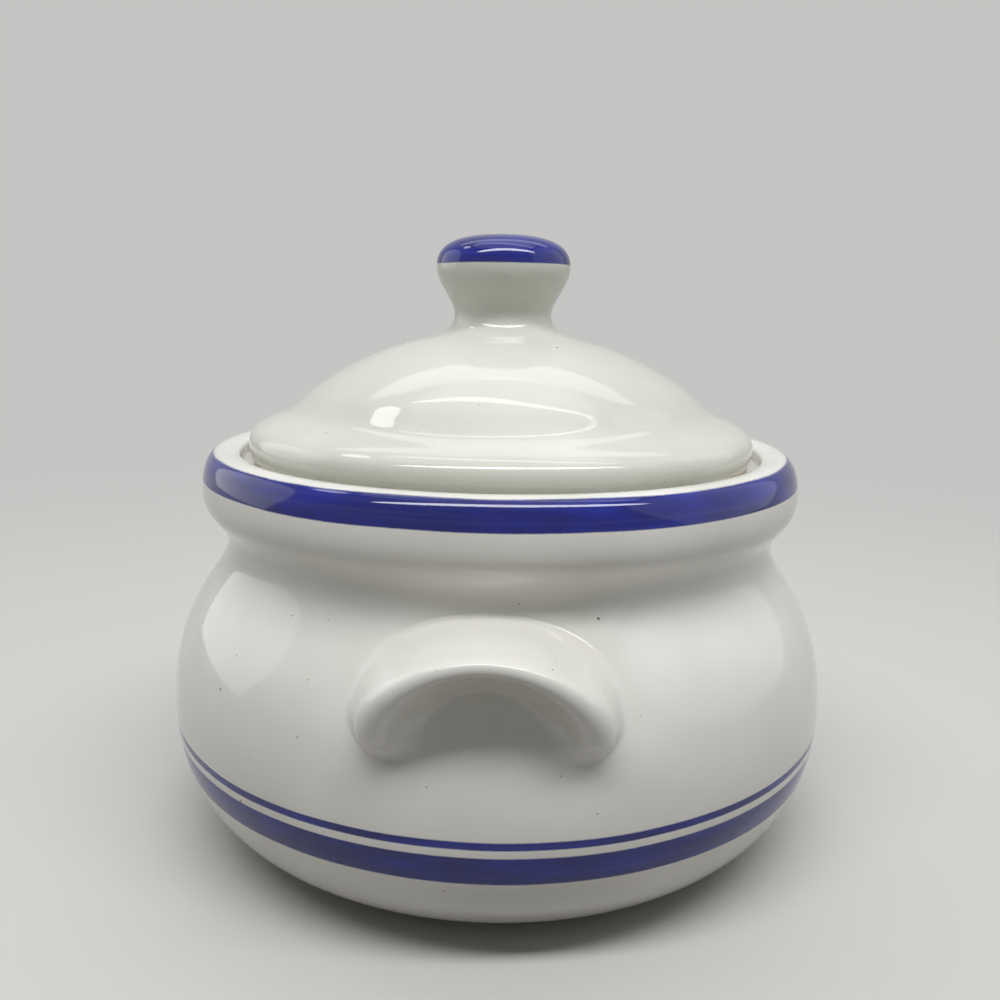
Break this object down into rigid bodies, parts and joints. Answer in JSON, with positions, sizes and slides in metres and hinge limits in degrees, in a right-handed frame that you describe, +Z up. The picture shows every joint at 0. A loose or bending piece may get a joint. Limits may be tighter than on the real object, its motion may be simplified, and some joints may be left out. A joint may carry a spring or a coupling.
{
  "type": "lidded stoneware crock",
  "caption": "Round-bellied glazed stoneware crock with a drawn-in neck, rolled rim, arched lug handles, painted blue lines, and a domed lid with a waisted knob that lifts off.",
  "frame": {"origin": "on the pot's axis, on the surface that the foot ring stands on", "axes": "+Z up along the pot's axis; the lug handles point along -Y (front) and +Y (rear); +X to the right of someone facing the front handle"},
  "size_m": [0.152, 0.163, 0.1353],
  "materials": {
    "pot_glaze": "glossy grey-white glaze over stoneware, with painted cobalt lines",
    "lug_glaze": "glossy grey-white glaze over stoneware",
    "lid_glaze": "glossy grey-white glaze over stoneware, bare clay on the seat",
    "knob_glaze": "glossy grey-white glaze over stoneware, with a painted cobalt cap"
  },
  "bodies": {
    "pot": {"crock_body": "pot_glaze", "handle_front": "lug_glaze", "handle_rear": "lug_glaze"},
    "lid": {"lid": "lid_glaze", "lid_knob": "knob_glaze"}
  },
  "joints": [
    {"name": "lid_lift", "type": "slide", "parent": "pot", "child": "lid", "axis": [0, 0, 1], "range_m": [0, 0.1]}
  ]
}
